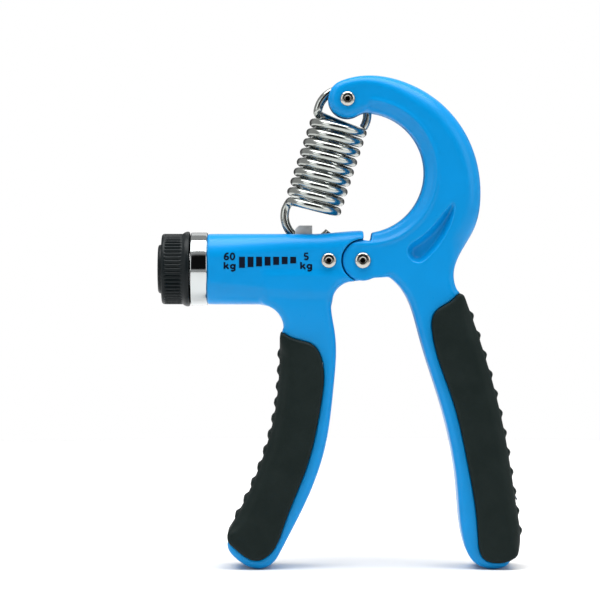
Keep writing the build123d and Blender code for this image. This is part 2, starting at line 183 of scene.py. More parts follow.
def distance(segments, x, z):
    """Signed distance in XZ to a closed outline, negative inside it by two of three lines of sight."""
    nearest = np.full(np.broadcast(x, z).shape, 1e9)
    right, left, up = (np.zeros(nearest.shape, bool) for _ in range(3))
    for (ax, az), (bx, bz) in segments:
        dx, dz = bx - ax, bz - az
        t = np.clip(((x - ax) * dx + (z - az) * dz) / (dx * dx + dz * dz + 1e-12), 0, 1)
        nearest = np.minimum(nearest, (x - ax - t * dx) ** 2 + (z - az - t * dz) ** 2)
        if dz:
            crossed, at = (az > z) != (bz > z), ax + (z - az) * dx / dz
            right ^= crossed & (x < at)
            left ^= crossed & (x > at)
        if dx:
            up ^= ((ax > x) != (bx > x)) & (z < az + (x - ax) * dz / dx)
    inside = (right & left) | (right & up) | (left & up)
    return np.where(inside, -1, 1) * np.sqrt(nearest)


def without(segments, test):
    """The segments whose middle doesn't meet the test."""
    centre = segments.mean(axis=1)
    return segments[~test(centre[:, 0], centre[:, 1])]


def merged(first, second):
    """The outline round two outlines that share an edge."""
    return np.concatenate([
        without(first, lambda x, z: abs(distance(second, x, z)) < 0.2),
        without(second, lambda x, z: abs(distance(first, x, z)) < 0.2),
    ])


def near(point, radius):
    return lambda x, z: np.hypot(x - point[0], z - point[1]) < radius


def soften(values, times):
    """Blurs an XZ field a little, so that an outline's short straight steps turn into a smooth curve."""
    for _ in range(times):
        values = np.pad(values, 1, mode="edge")
        values = (values[:-2] + 2 * values[1:-1] + values[2:]) / 4
        values = (values[:, :-2] + 2 * values[:, 1:-1] + values[:, 2:]) / 4
    return values


# ---------------------------------------------------------------- distance fields
def ease(value, start, end):
    t = np.clip((value - start) / (end - start), 0, 1)
    return t * t * (3 - 2 * t)


def mix(a, b, share):
    return a + (b - a) * share


def join(a, b, k):
    h = np.clip(0.5 + 0.5 * (b - a) / k, 0, 1)
    return mix(b, a, h) - k * h * (1 - h)


def common(a, b, k):
    return -join(-a, -b, k)


def cut(a, b, k=0.35):
    return common(a, -b, k)


def rounded(side, face, radius):
    """Where a side wall meets a face, with that edge radius."""
    s, f = side + radius, face + radius
    return np.minimum(np.maximum(s, f), 0) + np.hypot(np.maximum(s, 0), np.maximum(f, 0)) - radius


def disc(x, z, centre, radius):
    return np.hypot(x - centre[0], z - centre[1]) - radius


class Grid:
    def __init__(self, low, high, step=CELL, edge=1.6):
        self.low, self.step = np.array(low, float) - edge, step
        counts = np.ceil((np.array(high) + edge - self.low) / step).astype(int) + 1
        x, y, z = (self.low[i] + step * np.arange(counts[i]) for i in range(3))
        self.x, self.y, self.z = x[:, None, None], y[None, :, None], z[None, None, :]
        self.flat_x, self.flat_z = x[:, None], z[None, :]

    def sample(self, values, points):
        at = (points - self.low) / self.step
        base = np.clip(at.astype(int), 0, np.array(values.shape) - 2)
        share = at - base
        total = 0
        for corner in np.ndindex(2, 2, 2):
            weight = np.prod(np.where(corner, share, 1 - share), axis=1)
            total = total + weight * values[tuple((base + corner).T)]
        return total


def placed(name, mesh, finish, body):
    """A mesh as an object of the scene, with its finish, material slot and body."""
    mesh.materials.append(finish)
    mesh.update()
    made = bpy.data.objects.new(name, mesh)
    bpy.context.scene.collection.objects.link(made)
    if body:
        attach(made, body)
    return made


def piece(name, points, faces, finish, body):
    """A smooth-shaded object from millimetre points."""
    mesh = bpy.data.meshes.new(name)
    mesh.from_pydata((np.asarray(points, float) * MM).tolist(), [], [list(map(int, f)) for f in faces])
    mesh.polygons.foreach_set("use_smooth", [True] * len(mesh.polygons))
    return placed(name, mesh, finish, body)


def solid_from(name, grid, field, finish, body):
    """The surface of a distance field, each vertex slid onto it, shaded with the field's own slope."""
    field = np.ascontiguousarray(np.broadcast_to(field, (grid.x.size, grid.y.size, grid.z.size)), np.float32)
    level_set = openvdb.FloatGrid(3 * grid.step)
    level_set.copyFromArray(np.clip(field, -3 * grid.step, 3 * grid.step))
    points, faces = level_set.convertToQuads(isovalue=0.0)
    points = grid.low + points * grid.step
    slope = np.gradient(field, grid.step)
    for _ in range(2):
        out = np.stack([grid.sample(s, points) for s in slope], axis=1)
        size = np.maximum(np.linalg.norm(out, axis=1), 0.3)
        shift = np.clip(grid.sample(field, points) / size, -0.5 * grid.step, 0.5 * grid.step)
        points = points - out * (shift / size)[:, None]
    out = np.stack([grid.sample(s, points) for s in slope], axis=1)
    out /= np.maximum(np.linalg.norm(out, axis=1), 1e-6)[:, None]
    corners = points[faces]
    turned = np.cross(corners[:, 2] - corners[:, 0], corners[:, 3] - corners[:, 1])
    if (turned * out[faces[:, 0]]).sum() < 0:
        faces = faces[:, ::-1]
    made = piece(name, points, faces, finish, body)
    made.data.normals_split_custom_set_from_vertices(out.tolist())
    return made


# ---- lever arm ----
HOOP_INNER = [(10.7, 109.0), (27.9, 128.2), (8.8, 148.0)]  # three points of the hoop's inner circle
HOOP_EDGE = 5.6  # broad rounding outside the hoop
HOOP_RIM, HOOP_RIM_DROP = 3.9, 1.9  # width and depth of the bevel inside it
HANDLE_EDGE, HINGE_EDGE = 2.3, 0.45  # edge radius of the handles, and round the hinge
CREASE, CREASE_WIDTH = 0.4, 0.7  # the low ridge along the bevel
RECESS, RECESS_SLOPE = 2.8, 2.2  # depth of the teardrop, and how far in from its edge it gets there
FORK_HALF, FORK_R, FORK_FLOOR = 2.2, 10.8, 154  # the opening for the upper hook
EAR_INNER, TONGUE_ROOM_R = 3.6, 7.0
HINGE_R, TOP_PIN_R, BODY_RIVET_R = 2.05, 1.65, 1.55  # rivet holes
PAD_GAP = 0.03  # between a handle's seat and its rubber pad
EYE = np.array([-12.0, 106.6])  # where the lower hook pulls on the slider, in XZ
SPRING_WAY = (TOP_PIN - EYE) / np.hypot(*(TOP_PIN - EYE))
COIL_R, WIRE_R = 8.1, 1.4
PIN_TO_WIRE = 3.1  # from the middle of the top pin to the middle of the wire over it


def circle_through(points):
    (ax, az), (bx, bz), (cx, cz) = points
    rows = [[2 * (bx - ax), 2 * (bz - az)], [2 * (cx - ax), 2 * (cz - az)]]
    sums = [bx ** 2 + bz ** 2 - ax ** 2 - az ** 2, cx ** 2 + cz ** 2 - ax ** 2 - az ** 2]
    centre = np.linalg.solve(rows, sums)
    return centre, np.hypot(*(centre - points[0]))


def rivets_out(segments):
    for hole in (PIVOT, TOP_PIN):
        segments = without(segments, near(hole, 3.0))
    return segments


HOOP_CENTRE, HOOP_R = circle_through(HOOP_INNER)
lever_grid = Grid(LEVER_LOW, LEVER_HIGH)
x, z = lever_grid.flat_x, lever_grid.flat_z
below_recess, at_face = SLAB_HALF - 2.0, SLAB_HALF - 0.13
lever_outline = rivets_out(section("lever_arm", below_recess))
right_pad_outline = section("right_grip_pad", PAD_HALF - 1.0)
whole = distance(merged(lever_outline, right_pad_outline), x, z)
from_pivot = disc(x, z, PIVOT, 0)
whole = mix(soften(whole, 2), soften(whole, 12), ease(from_pivot, 9, 16))
right_pad = soften(distance(right_pad_outline, x, z), 6)
recess_edge = without(
    rivets_out(section("lever_arm", at_face)),
    lambda px, pz: abs(distance(lever_outline, px, pz)) < 0.3,
)
recess = soften(distance(recess_edge, x, z), 3)
from_hoop = disc(x, z, HOOP_CENTRE, HOOP_R)
from_pin = disc(x, z, TOP_PIN, 0)

in_hoop = ease(z, 98, 108)
edge = mix(HANDLE_EDGE, mix(1.2, HOOP_EDGE, ease(from_hoop, 4, 9)), in_hoop)
edge = mix(2.6, edge, ease(from_pin, 5, 24))
edge = mix(HINGE_EDGE, edge, ease(from_pivot, 7.5, 11))
rim = np.clip((HOOP_RIM - from_hoop) / HOOP_RIM, 0, 1) * ease(from_pin, 6.6, 8.2) * ease(z, 104, 107)
dish = np.clip(-recess / RECESS_SLOPE, 0, 1)
crease = np.exp(-((from_hoop - HOOP_RIM) / CREASE_WIDTH) ** 2) * ease(from_pin, 7, 9) * ease(z, 104, 107)
half = SLAB_HALF - HOOP_RIM_DROP * soften(rim, 1) - RECESS * dish * (2 - dish) + CREASE * crease


def spread(flat):
    """An XZ field as a field in space, the same at every depth."""
    return flat[:, None, :]


lever = rounded(spread(whole), abs(lever_grid.y) - spread(half), spread(edge))
lever = cut(lever, spread(right_pad) - PAD_GAP, 0.25)
hook_centre = TOP_PIN + SPRING_WAY * (PIN_TO_WIRE - COIL_R)
fork = np.minimum(
    disc(x, z, hook_centre, FORK_R),
    np.maximum(abs(x - hook_centre[0] + 2) - FORK_R, FORK_FLOOR - z),
)
lever = cut(lever, np.maximum(spread(fork), abs(lever_grid.y) - FORK_HALF))
lever = cut(lever, np.maximum(spread(disc(x, z, PIVOT, TONGUE_ROOM_R)), abs(lever_grid.y) - EAR_INNER))
for hole, radius in ((PIVOT, HINGE_R), (TOP_PIN, TOP_PIN_R)):
    lever = cut(lever, spread(disc(x, z, hole, radius)))
lever_shell = solid_from("lever_shell", lever_grid, lever, BLUE, "lever")
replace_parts(lever_shell, "lever_arm")

# ---- adjuster arm ----
BARREL_LEFT, BARREL_RIGHT = RING_HIGH[0], 8.0
BARREL_R = 11.45
FLAT_HALF = 9.8  # half the barrel's depth towards the hinge
BARREL_LEFT_EDGE, BARREL_EDGE = 8.0, 5.0  # corner radius of its section, at the ring and towards the hinge
BARREL_RISE = 1.05  # how much higher its top is at the hinge
NECK_Z, NECK_LEFT = 84, -25.2  # above this height, the handle starts this far left
BORE_R, BORE_RIGHT = 8.85, -7.4
SLOT_HALF, SLOT_RIGHT, SLOT_FLOOR = 3.3, -0.4, 101.9
END_POCKET_R, END_POCKET_RIGHT = 5.0, -0.8
POCKET_R, TONGUE_R, TONGUE_HALF = 6.95, 6.3, 3.0
CROTCH = (-2.3, 93.3)  # the corner of the open space under the hinge
CROTCH_R = 5.4


def barrel_half(x):
    """Half the barrel's depth at a place along it."""
    return mix(BARREL_R, FLAT_HALF, ease(x, BARREL_LEFT + 4, -8))


def barrel_section(x, y, z):
    """Signed distance to the barrel across X: fullest at the ring, then flatter sides towards the hinge."""
    half_y = barrel_half(x)
    rise = BARREL_RISE * ease(x, -9, 8.5)
    corner = mix(BARREL_LEFT_EDGE, BARREL_EDGE, ease(x, BARREL_LEFT - 4, -8))
    qy = abs(y) - (half_y - corner)
    qz = abs(z - AXIS_Z - rise / 2) - (BARREL_R + rise / 2 - corner)
    return np.hypot(np.maximum(qy, 0), np.maximum(qz, 0)) + np.minimum(np.maximum(qy, qz), 0) - corner


adjuster_grid = Grid(ADJUSTER_LOW, ADJUSTER_HIGH + [7, 0, 0])
gx, gy, gz = adjuster_grid.x, adjuster_grid.y, adjuster_grid.z
x, z = adjuster_grid.flat_x, adjuster_grid.flat_z
handle_outline = section("adjuster_arm", at_face)
left_pad_outline = section("left_grip_pad", PAD_HALF - 1.0)
handle = distance(merged(handle_outline, left_pad_outline), x, z)
handle = np.maximum(np.maximum(handle, z - AXIS_Z), np.where(z > NECK_Z, NECK_LEFT - x, -99))
handle = soften(handle, 10)
left_pad = soften(distance(left_pad_outline, x, z), 6)
handle_half = mix(SLAB_HALF, barrel_half(x), ease(z, 66, 88))
handle_solid = rounded(spread(handle), abs(gy) - spread(handle_half), HANDLE_EDGE)

barrel = rounded(np.maximum(gx - BARREL_RIGHT, BARREL_LEFT - gx), barrel_section(gx, gy, gz), 0.7)
qx, qz = CROTCH[0] - x + CROTCH_R, z - CROTCH[1] + CROTCH_R
crotch = np.hypot(np.maximum(qx, 0), np.maximum(qz, 0)) + np.minimum(np.maximum(qx, qz), 0) - CROTCH_R
barrel = cut(barrel, spread(crotch), 2.0)
adjuster = join(barrel, handle_solid, 1.2)
about_axis = np.hypot(gy, gz - AXIS_Z)
under_ring = np.maximum(gx - BARREL_LEFT - 1, RING_LOW[0] - gx)
adjuster = np.minimum(adjuster, np.maximum(about_axis - RING_R + 1.2, under_ring))
adjuster = cut(adjuster, spread(left_pad) - PAD_GAP, 0.25)
adjuster = cut(adjuster, np.maximum(about_axis - BORE_R, gx - BORE_RIGHT))
adjuster = cut(adjuster, np.maximum(about_axis - END_POCKET_R, gx - END_POCKET_RIGHT))
adjuster = cut(adjuster, np.maximum(np.maximum(abs(gy) - SLOT_HALF, gx - SLOT_RIGHT), SLOT_FLOOR - gz))
adjuster = cut(adjuster, spread(disc(x, z, BODY_RIVET, BODY_RIVET_R)))
pocket = spread(disc(x, z, PIVOT, POCKET_R))
adjuster = cut(adjuster, np.maximum(pocket, TONGUE_HALF - abs(gy)))
adjuster = np.minimum(adjuster, np.maximum(spread(disc(x, z, PIVOT, TONGUE_R)), abs(gy) - TONGUE_HALF))
adjuster = cut(adjuster, spread(disc(x, z, PIVOT, HINGE_R)))
adjuster_shell = solid_from("adjuster_shell", adjuster_grid, adjuster, BLUE, "adjuster")
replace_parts(adjuster_shell, "adjuster_arm")

# ---- rubber pads, with a row of low ribs down the gripped edge ----
GRIPPED_EDGE, SPINE_EDGE = 4.2, 1.0
RIB_R, RIB_PROUD, RIB_HALF = 1.35, 0.8, 6.2


def grip_pad(name, node, outline, beside, outward, rib_heights, body):
    low, high = box_mm(node)
    grid = Grid(low, high)
    x, z = grid.flat_x, grid.flat_z
    pad = soften(distance(outline, x, z), 6)
    spine = soften(distance(beside, x, z), 6)
    edge = mix(SPINE_EDGE, GRIPPED_EDGE, ease(spine, 1.5, 6.5))
    solid = rounded(spread(pad), abs(grid.y) - PAD_HALF, spread(edge))
    for height in rib_heights:
        ends = outline[(outline[:, 0, 1] > height) != (outline[:, 1, 1] > height)]
        share = (height - ends[:, 0, 1]) / (ends[:, 1, 1] - ends[:, 0, 1])
        edge_x = outward * max(outward * (ends[:, 0, 0] + share * (ends[:, 1, 0] - ends[:, 0, 0])))
        across = np.hypot(grid.x - edge_x + outward * (RIB_R - RIB_PROUD), grid.z - height)
        rib = np.hypot(across, np.maximum(abs(grid.y) - RIB_HALF, 0)) - RIB_R
        solid = join(solid, rib, 0.7)
    made = solid_from(name, grid, solid, RUBBER, body)
    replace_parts(made, node)


right_ribs, left_ribs = np.linspace(82, 12.5, 12), np.linspace(69.5, 17, 11)
grip_pad("right_pad", "right_grip_pad", right_pad_outline, lever_outline, 1, right_ribs, "lever")
grip_pad("left_pad", "left_grip_pad", left_pad_outline, handle_outline, -1, left_ribs, "adjuster")


# ---------------------------------------------------------------- turned parts
def turned(name, profile, finish, slot, body, centre, along="x", sides=96, shape=None):
    """A closed profile of (position along the axis, radius) swept round the axis.
    shape(position, radius, angle) gives the radius where it changes round the axis."""
    angle = np.linspace(0, 2 * pi, sides, endpoint=False)
    points = []
    for at, radius in profile:
        r = shape(at, radius, angle) if shape else np.full(sides, radius)
        u, v = r * np.cos(angle), r * np.sin(angle)
        ring = {"x": (np.full(sides, at), u, v), "y": (u, np.full(sides, at), v)}[along]
        points.append(np.stack(ring, axis=1))
    points = np.concatenate(points) + centre
    rows = len(profile)
    faces = []
    for i in range(rows):
        a, b = i * sides, (i + 1) % rows * sides
        faces += [(a + j, a + (j + 1) % sides, b + (j + 1) % sides, b + j) for j in range(sides)]
    return whole_piece(name, points, faces, finish, body)


def whole_piece(name, points, faces, finish, body, sharp=35):
    """A piece with doubled points welded, faces turned outwards, and edges over the angle left sharp."""
    made = piece(name, points, faces, finish, body)
    shape = bmesh.new()
    shape.from_mesh(made.data)
    bmesh.ops.remove_doubles(shape, verts=shape.verts, dist=1e-7)
    bmesh.ops.dissolve_degenerate(shape, edges=shape.edges, dist=1e-8)
    bmesh.ops.recalc_face_normals(shape, faces=shape.faces)
    for e in shape.edges:
        e.smooth = len(e.link_faces) == 2 and e.calc_face_angle(0) < radians(sharp)
    shape.to_mesh(made.data)
    shape.free()
    return made


def curve(centre, radius, start, end, steps=6):
    """Profile points round an arc, in degrees from the axis direction towards outwards."""
    return [(centre[0] + radius * cos(radians(a)), centre[1] + radius * sin(radians(a)))
            for a in np.linspace(start, end, steps)]


# Knob: fine ribs round the middle, a plain lip at the outer end and a flared collar beside the ring.
KNOB_R, COLLAR_R = 11.5, (KNOB_HIGH[2] - KNOB_LOW[2]) / 2
KNOB_LEFT, KNOB_RIGHT = KNOB_LOW[0], KNOB_HIGH[0]
CAP_LOW, CAP_HIGH = box_mm("knob_end_cap")
CAP_R = (CAP_HIGH[2] - CAP_LOW[2]) / 2
RIBS, RIB_DEPTH = 54, 0.42
RIBBED = (KNOB_LEFT + 1.0, KNOB_RIGHT - 2.4)
SKIRT_R, HUB_R, SHAFT_R, SCREW_HOLE_R, SCREW_HEAD_R = 9.5, 5.0, 2.5, 1.55, 3.4
SOCKET_END, HEAD_SEAT = -52.5, -54.3  # how far in the screw's end and the fixing screw's head go


def ribbed(at, radius, angle):
    if radius < KNOB_R - 0.7:
        return np.full(angle.size, radius)
    reach = ease(at, RIBBED[0], RIBBED[0] + 0.5) * (1 - ease(at, RIBBED[1] - 0.5, RIBBED[1]))
    wave = 0.5 + 0.5 * np.cos(RIBS * angle)
    return radius - RIB_DEPTH * reach * (1 - wave ** 0.6)


knob_profile = (
    [(CAP_HIGH[0], CAP_R + 0.05), (KNOB_LEFT + 0.3, CAP_R + 0.05), (KNOB_LEFT, CAP_R + 0.35)]
    + curve((KNOB_LEFT + 0.9, KNOB_R - 0.9), 0.9, 180, 90)
    + [(at, KNOB_R) for at in np.linspace(RIBBED[0] + 0.05, RIBBED[1], 18)]
    + [(KNOB_RIGHT - 2.2, KNOB_R + 0.05), (KNOB_RIGHT - 1.8, KNOB_R + 0.35),
       (KNOB_RIGHT - 1.3, COLLAR_R - 0.1), (KNOB_RIGHT - 0.9, COLLAR_R),
       (KNOB_RIGHT - 0.35, COLLAR_R), (KNOB_RIGHT - 0.1, COLLAR_R - 0.15),
       (KNOB_RIGHT, COLLAR_R - 0.45), (KNOB_RIGHT, 9.6), (KNOB_RIGHT - 0.1, SKIRT_R), (SOCKET_END, SKIRT_R),
       (SOCKET_END, HUB_R), (KNOB_RIGHT - 0.1, HUB_R), (KNOB_RIGHT, 4.9), (KNOB_RIGHT, 2.55),
       (SOCKET_END, SHAFT_R), (SOCKET_END, SCREW_HOLE_R), (HEAD_SEAT, SCREW_HOLE_R),
       (HEAD_SEAT, SCREW_HEAD_R), (CAP_HIGH[0], SCREW_HEAD_R)]
)
axis_point = np.array([0.0, 0.0, AXIS_Z])
knob_shell = turned("ribbed_knob", knob_profile, PLASTIC, "black_plastic", "knob", axis_point,
                    sides=RIBS * 10, shape=ribbed)
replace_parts(knob_shell, "knob")

cap_profile = ([(CAP_LOW[0] + 0.35, 0.0), (CAP_LOW[0] + 0.33, 3.0), (CAP_LOW[0] + 0.25, 5.6),
                (CAP_LOW[0] + 0.05, 6.4), (CAP_LOW[0], 6.8)]
               + curve((CAP_LOW[0] + 0.9, CAP_R - 0.9), 0.9, 170, 90)
               + [(CAP_HIGH[0], CAP_R), (CAP_HIGH[0], 0.0)])
cap_shell = turned("knob_cap", cap_profile, PLASTIC, "black_plastic", "knob", axis_point)
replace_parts(cap_shell, "knob_end_cap")

ring_profile = (curve((RING_LOW[0] + 0.5, RING_R - 0.5), 0.5, 180, 90)
                + [(middle("chrome_ring")[0], RING_R + 0.03)]
                + curve((RING_HIGH[0] - 0.5, RING_R - 0.5), 0.5, 90, 0)
                + [(RING_HIGH[0], RING_R - 1.15), (RING_LOW[0], RING_R - 1.15)])
ring_shell = turned("polished_ring", ring_profile, CHROME, "chrome", "adjuster", axis_point, sides=160)
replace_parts(ring_shell, "chrome_ring")

# Rivets: the front is a rolled tubular end whose hole is coloured near black as painted shade, the back a low
# domed head on its washer.
RIM_THICK, HOLE_DEPTH, HOLE_SHARE = 1.1, 4.5, 0.32
HEAD_STEP = 0.3  # the back's head is this much smaller than the rolled rim


def rivet_profile(head_r, hole, front, seat, washer_back, back):
    shank, rise = head_r - 0.8, head_r - hole - 0.3
    return (
        [(seat + HOLE_DEPTH, 0.0), (seat + HOLE_DEPTH, hole * 0.8), (seat, hole * 0.9), (front + 0.3, hole),
         (front + 0.08, hole + 0.12)]
        + [(front + 0.75 * (1 - cos(a)), hole + 0.3 + rise * sin(a)) for a in np.linspace(0, pi / 2, 10)]
        + [(seat, head_r - 0.05), (seat, shank), (washer_back, shank), (washer_back, head_r - HEAD_STEP)]
        + [(washer_back + (back - washer_back) * sin(a), (head_r - HEAD_STEP) * cos(a))
           for a in np.linspace(0.1, pi / 2, 8)]
    )


for node, body, at in (("hinge_rivet", "lever", PIVOT), ("top_pin_rivet", "lever", TOP_PIN),
                       ("body_rivet", "adjuster", BODY_RIVET)):
    low, high = box_mm(node)
    head_r, front, back = (high[2] - low[2]) / 2, low[1], high[1]
    washer_back = box_mm(f"{node}_washer")[1][1]
    hole = HOLE_SHARE * head_r
    profile = rivet_profile(head_r, hole, front, front + RIM_THICK, washer_back, back)
    made = turned(f"{node}_body", profile, RIVET, "rivet_steel", body, np.array([at[0], 0, at[1]]), along="y",
                  sides=56)
    made.data.materials.append(RIVET_HOLE_PAINTED_SHADE)
    # Faces inside the front hole take the near-black finish, painted shade of the hole.
    for face in made.data.polygons:
        off_axis = np.hypot(face.center.x / MM - at[0], face.center.z / MM - at[1])
        if off_axis < hole + 0.12 and face.center.y < 0:
            face.material_index = 1
    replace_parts(made, node)

# Lead screw with its thread, seen through the slot.
THREAD_PITCH, THREAD_DEPTH, THREAD = 2.0, 0.55, (-40.9, -7.6)


def threaded(at, radius, angle):
    if radius < 2.9:
        return np.full(angle.size, radius)
    phase = (at / THREAD_PITCH + angle / (2 * pi)) % 1
    ends = ease(at, THREAD[0], THREAD[0] + 1.2) * (1 - ease(at, THREAD[1] - 1.2, THREAD[1]))
    return radius - THREAD_DEPTH * np.clip(1.25 - abs(phase - 0.5) * 3.4, 0, 1) * ends


screw_profile = ([(SCREW_LOW[0], 0.0), (SCREW_LOW[0], 2.5), (THREAD[0], 2.5), (THREAD[0], 2.8)]
                 + [(at, 3.0) for at in np.arange(THREAD[0] + 0.15, THREAD[1] - 0.1, 0.2)]
                 + [(THREAD[1], 2.8), (THREAD[1], 2.0), (SCREW_HIGH[0] - 0.3, 2.0), (SCREW_HIGH[0], 1.7),
                    (SCREW_HIGH[0], 0.0)])
screw_shell = turned("threaded_screw", screw_profile, STEEL, "plated_steel", "knob", axis_point, sides=40,
                     shape=threaded)
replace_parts(screw_shell, "lead_screw")


# ---------------------------------------------------------------- the spring's wire
TURNS, COIL_LENGTH, COIL_START = 9, 30.3, 10.6
PER_TURN, WIRE_SIDES = 56, 20
BEND = 3.4  # how far the wire takes to turn from the coil into a hook
WIRE_BEVEL = 0.25  # at its cut ends
LOWER_TAIL, UPPER_TAIL = 70, 106  # how far round each hook's free end comes, in degrees

along = np.array([SPRING_WAY[0], 0, SPRING_WAY[1]])
across = np.array([along[2], 0, -along[0]])
towards_back = np.array([0.0, 1.0, 0.0])
eye = np.array([EYE[0], 0, EYE[1]])
pin = np.array([TOP_PIN[0], 0, TOP_PIN[1]])


def coil_point(turn):
    """A point of the coil's centre line; turn 0 and turn 9 are both at the hooks' side."""
    a = 2 * pi * turn
    return (eye + along * (COIL_START + COIL_LENGTH * turn / TURNS)
            + COIL_R * (-across * cos(a) - towards_back * sin(a)))


def hook(centre, way, tail):
    """The centre line of a hook, from its free end round to the straight run down the hooks' side."""
    turn = np.radians(np.arange(tail, -90.1, -4))
    return [centre + COIL_R * (way * cos(a) + across * sin(a)) for a in turn]


def bend(start, start_way, end, end_way, steps=12):
    """A smooth corner between two runs of wire."""
    reach = np.linalg.norm(end - start) * 0.55
    a, b, c, d = start, start + start_way * reach, end - end_way * reach, end
    return [(1 - t) ** 3 * a + 3 * (1 - t) ** 2 * t * b + 3 * (1 - t) * t * t * c + t ** 3 * d
            for t in np.linspace(0, 1, steps)[1:-1]]


def wire(name, path, body_a, body_b, start, end, *nodes):
    """A round wire along a path, with a small bevel at its cut ends; the two bodies and end points it is
    given are not used.
    """
    path = np.array(path)
    way = np.gradient(path, axis=0)
    way /= np.linalg.norm(way, axis=1)[:, None]
    out = np.cross(way[0], (0.3, 0.9, 0.2))
    rings, faces = [], []
    last = len(path) - 1
    sections = [(0, 0, WIRE_R - WIRE_BEVEL), (0, 0.2, WIRE_R)] + [(i, 0, WIRE_R) for i in range(1, last)]
    sections += [(last, -0.2, WIRE_R), (last, 0, WIRE_R - WIRE_BEVEL)]
    angle = np.linspace(0, 2 * pi, WIRE_SIDES, endpoint=False)
    for i, shift, radius in sections:
        out = out - way[i] * np.dot(out, way[i])
        out /= np.linalg.norm(out)
        side = np.cross(way[i], out)
        centre = path[i] + way[i] * shift
        rings.append(centre + radius * (np.cos(angle)[:, None] * out + np.sin(angle)[:, None] * side))
    for i in range(len(rings) - 1):
        a, b = i * WIRE_SIDES, (i + 1) * WIRE_SIDES
        faces += [(a + j, a + (j + 1) % WIRE_SIDES, b + (j + 1) % WIRE_SIDES, b + j)
                  for j in range(WIRE_SIDES)]
    faces.append(tuple(range(WIRE_SIDES)))
    faces.append(tuple(reversed(range((len(rings) - 1) * WIRE_SIDES, len(rings) * WIRE_SIDES))))
    made = whole_piece(name, np.concatenate(rings), faces, WIRE, None, sharp=40)
    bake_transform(made)
    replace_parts(made, *nodes)


half_turn = TURNS / 2
turn_start = BEND / (2 * pi * COIL_R)
upper_middle = pin + along * (PIN_TO_WIRE - COIL_R)
upper_side = upper_middle - across * COIL_R
lower_coil = [coil_point(t) for t in np.arange(turn_start, half_turn + 1e-6, 1 / PER_TURN)]
upper_coil = [coil_point(t) for t in np.arange(TURNS - turn_start, half_turn - 1e-6, -1 / PER_TURN)]
lower_run = coil_point(0) - along * BEND
upper_run = coil_point(TURNS) + along * min(BEND, np.dot(upper_side - coil_point(TURNS), along) - 0.2)
lower_path = (hook(eye + along * COIL_R, -along, LOWER_TAIL) + [lower_run]
              + bend(lower_run, along, lower_coil[0], -towards_back) + lower_coil)
upper_path = (hook(upper_middle, along, UPPER_TAIL) + [upper_run]
              + bend(upper_run, -along, upper_coil[0], towards_back) + upper_coil)
coil_low, coil_top = eye + along * COIL_START, eye + along * (COIL_START + COIL_LENGTH)
coil_middle = (coil_low + coil_top) / 2
wire("spring_upper_wire", upper_path, "spring_top", "spring_middle", coil_top, coil_middle, "spring_coil",
     "spring_upper_hook")
wire("spring_lower_wire", lower_path, "spring_middle", "spring_bottom", coil_middle, coil_low,
     "spring_lower_hook")


# ---------------------------------------------------------------- slider
def eased_copy(name, node, finish, body, width):
    """A copy of a CAD part's mesh with its hard edges broken by a small bevel."""
    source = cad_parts[node].data
    shape = bmesh.new()
    shape.from_mesh(source)
    bmesh.ops.remove_doubles(shape, verts=shape.verts, dist=1e-6)
    bmesh.ops.dissolve_limit(shape, angle_limit=radians(1), verts=shape.verts, edges=shape.edges)
    hard = [e for e in shape.edges if e.calc_face_angle(0) > radians(30)]
    bmesh.ops.bevel(shape, geom=hard, offset=width * MM, segments=2, profile=0.6, affect="EDGES",
                    clamp_overlap=True)
    bmesh.ops.recalc_face_normals(shape, faces=shape.faces)
    for face in shape.faces:
        face.smooth = True
    for e in shape.edges:
        e.smooth = len(e.link_faces) == 2 and e.calc_face_angle(0) < radians(28)
    mesh = bpy.data.meshes.new(name)
    shape.to_mesh(mesh)
    shape.free()
    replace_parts(placed(name, mesh, finish, body), node)


eased_copy("slider_lug", "slider_carrier", SATIN, "slider", 0.25)

# ---------------------------------------------------------------- printed scale
PRINT_THICK, PRINT_LIFT = 0.06, 0.02
BAR_STEP, BAR_WIDTH, BAR_TOP = 2.75, 1.9, 101.2
STROKE, LETTER_STEP = 0.55, 0.66
BAR_FIRST, BARS, BAR_TALLEST, BAR_SHORTEST = -31.3, 7, 3.56, 2.15


def front_of_barrel(x, z):
    """How far forward the adjuster arm's surface is at points of its front."""
    near_y, far_y = np.full_like(x, -9.2), np.full_like(x, -12.5)
    for _ in range(18):
        mid = (near_y + far_y) / 2
        inside = adjuster_grid.sample(adjuster, np.stack([x, mid, z], axis=1)) < 0
        near_y, far_y = np.where(inside, mid, near_y), np.where(inside, far_y, mid)
    return near_y


def print_on_barrel(name, shape):
    """Lays a flat mesh, drawn in x and z, on the barrel's front as a thin raised print."""
    for _ in range(2):
        long = [e for e in shape.edges if e.calc_length() > 0.6]
        bmesh.ops.subdivide_edges(shape, edges=long, cuts=1)
    extra = bmesh.ops.extrude_face_region(shape, geom=list(shape.faces))
    lifted = {v for v in extra["geom"] if isinstance(v, bmesh.types.BMVert)}
    points = np.array([v.co for v in shape.verts])
    depth = front_of_barrel(points[:, 0], points[:, 2])
    for v, y in zip(shape.verts, depth):
        v.co.y = y - PRINT_LIFT - (PRINT_THICK if v in lifted else 0)
        v.co *= MM
    bmesh.ops.recalc_face_normals(shape, faces=shape.faces)
    mesh = bpy.data.meshes.new(name)
    shape.to_mesh(mesh)
    shape.free()
    placed(name, mesh, INK, "adjuster")


def oval(x, z, half_x, half_z, start=0, end=360, steps=18):
    return [(x + half_x * cos(radians(a)), z + half_z * sin(radians(a)))
            for a in np.linspace(start, end, steps)]


